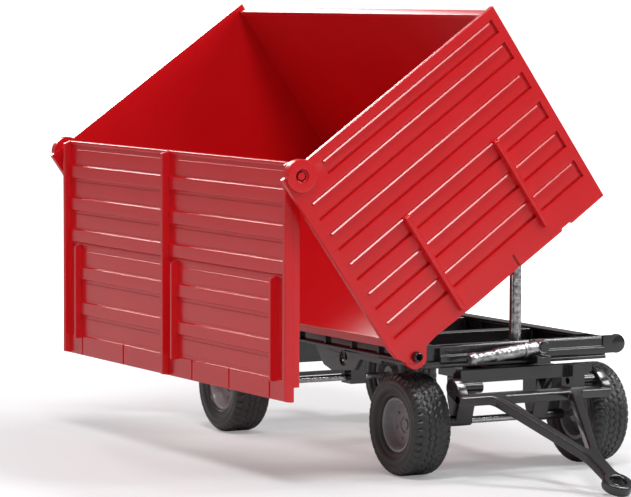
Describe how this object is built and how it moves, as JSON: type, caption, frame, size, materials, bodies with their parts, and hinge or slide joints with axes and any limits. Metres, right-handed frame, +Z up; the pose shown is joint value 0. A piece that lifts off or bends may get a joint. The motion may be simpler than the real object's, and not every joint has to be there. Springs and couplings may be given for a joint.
{
  "type": "tipping grain trailer",
  "caption": "Scale model of a farm trailer for grain: a red box tips sideways over a hinged side board, on a dark chassis with a steered front bogie and drawbar.",
  "frame": {"origin": "centre of the towing eye's hole, with the drawbar let down and the eye on the ground", "axes": "+X forward along the trailer towards the drawbar, +Y to the trailer's left, +Z up; the box is tipped to the right (-Y)"},
  "size_m": [0.1996, 0.1115, 0.1285],
  "materials": {
    "red_plastic": "satin moulded plastic",
    "dark_plastic": "glossy moulded plastic",
    "tyre_rubber": "dull moulded rubber with a block tread",
    "grey_rim": "satin grey plastic",
    "chrome_metal": "bright plating",
    "steel_pin": "plain steel pin"
  },
  "bodies": {
    "chassis": {"front_beam": "dark_plastic", "rear_beam": "dark_plastic", "left_rail": "dark_plastic", "right_rail": "dark_plastic", "cross_members": "dark_plastic", "rail_gussets": "dark_plastic", "turntable_seat": "dark_plastic", "kingpin": "dark_plastic", "tipping_pins": "dark_plastic", "rear_axle_stand": "dark_plastic", "stay_pin": "steel_pin", "ram_bracket": "dark_plastic", "ram_pin": "steel_pin"},
    "box": {"front_wall": "red_plastic", "rear_wall": "red_plastic", "left_wall": "red_plastic", "box_floor": "red_plastic"},
    "side_board": {"side_board": "red_plastic", "side_board_pins": "red_plastic"},
    "rear_wheels": {"rear_axle": "steel_pin", "rear_left_tyre": "tyre_rubber", "rear_right_tyre": "tyre_rubber", "rear_left_rim": "grey_rim", "rear_right_rim": "grey_rim"},
    "bogie": {"bogie_frame": "dark_plastic", "bogie_axle_plates": "dark_plastic", "turntable_ring": "dark_plastic"},
    "front_wheels": {"front_axle": "steel_pin", "front_left_tyre": "tyre_rubber", "front_right_tyre": "tyre_rubber", "front_left_rim": "grey_rim", "front_right_rim": "grey_rim"},
    "drawbar": {"drawbar_arms": "dark_plastic", "drawbar_crossbar": "dark_plastic", "drawbar_legs": "dark_plastic", "towing_eye": "dark_plastic", "drawbar_pins": "steel_pin"},
    "stay": {"stay_rod": "chrome_metal"},
    "ram": {"ram_barrel": "chrome_metal", "ram_rod": "chrome_metal"}
  },
  "joints": [
    {"name": "box_tip", "type": "hinge", "parent": "chassis", "child": "box", "pos_m": [-0.12021, -0.0338, 0.03096], "axis": [1, 0, 0], "range_deg": [-35.2, 0]},
    {"name": "side_board_swing", "type": "hinge", "parent": "box", "child": "side_board", "pos_m": [-0.12021, -0.06963, 0.0807], "axis": [1, 0, 0], "range_deg": [-60, 35.2]},
    {"name": "stay_fold", "type": "hinge", "parent": "chassis", "child": "stay", "pos_m": [-0.05441, 0.0029, 0.03136], "axis": [1, 0, 0], "range_deg": [-88, 0]},
    {"name": "ram_swing", "type": "hinge", "parent": "chassis", "child": "ram", "pos_m": [-0.04341, 0.0042, 0.03216], "axis": [1, 0, 0], "range_deg": [-84, 0]},
    {"name": "bogie_steer", "type": "hinge", "parent": "chassis", "child": "bogie", "pos_m": [-0.05771, 0, 0.02696], "axis": [0, 0, 1], "range_deg": [-80, 80]},
    {"name": "drawbar_lift", "type": "hinge", "parent": "bogie", "child": "drawbar", "pos_m": [-0.04371, 0, 0.02216], "axis": [0, -1, 0], "range_deg": [0, 32]},
    {"name": "front_wheels_roll", "type": "hinge", "parent": "bogie", "child": "front_wheels", "pos_m": [-0.05771, 0, 0.01106], "axis": [0, 1, 0], "continuous": true},
    {"name": "rear_wheels_roll", "type": "hinge", "parent": "chassis", "child": "rear_wheels", "pos_m": [-0.16071, 0, 0.01106], "axis": [0, 1, 0], "continuous": true}
  ],
  "couplings": [
    {"joint": "stay_fold", "follows": "box_tip", "ratio": 2.5}
  ]
}
